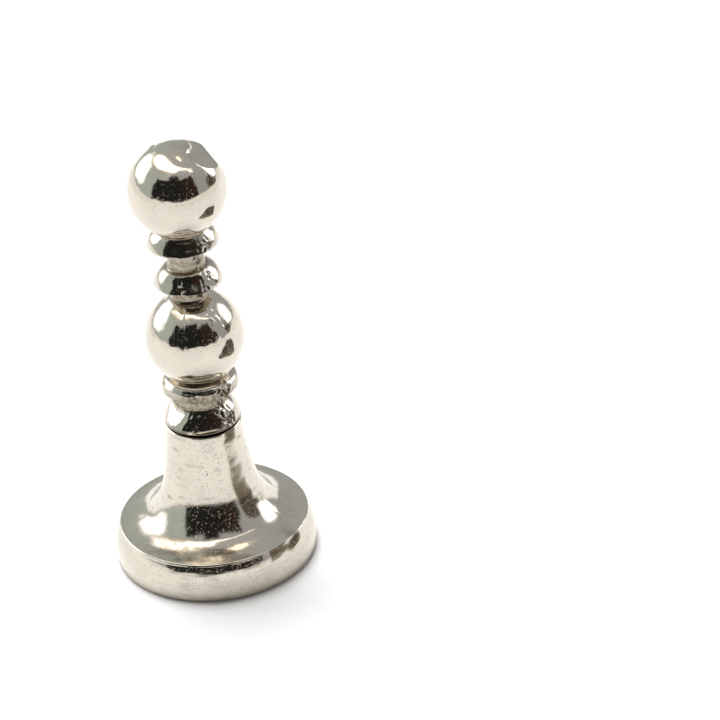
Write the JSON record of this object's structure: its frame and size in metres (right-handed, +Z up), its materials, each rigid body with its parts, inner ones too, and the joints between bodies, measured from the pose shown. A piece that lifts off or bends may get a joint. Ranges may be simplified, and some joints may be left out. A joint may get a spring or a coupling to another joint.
{
  "type": "sealing wax seal",
  "caption": "All-metal sealing-wax seal: an engraved starfish face under a bell foot, and a turned-look handle of balls and rings that unscrews.",
  "frame": {"origin": "centre of the engraved face, on the seal's axis, on the surface that it stands on", "axes": "+Z up along the seal's axis, from the engraved face to the top ball; +X to the right and -Y towards a viewer in front"},
  "size_m": [0.018, 0.018, 0.042],
  "materials": {
    "die_plating": "polished",
    "cast_plating": "polished",
    "steel": "satin"
  },
  "bodies": {
    "head": {"engraved_die": "die_plating", "bell_foot": "cast_plating"},
    "washer": {"collar_washer": "steel"},
    "handle": {"tie_rod": "steel", "lower_spool": "cast_plating", "middle_ball": "cast_plating", "upper_spool": "cast_plating", "top_ball": "cast_plating"}
  },
  "joints": [
    {"name": "washer_lift", "type": "slide", "parent": "head", "child": "washer", "axis": [0, 0, 1], "range_m": [0, 0.0054]},
    {"name": "handle_unscrew", "type": "hinge", "parent": "washer", "child": "handle", "pos_m": [0, 0, 0.01405], "axis": [0, 0, 1], "range_deg": [0, 4320]}
  ],
  "couplings": [
    {"joint": "handle_unscrew", "follows": "washer_lift", "rad_per_m": 13963}
  ]
}
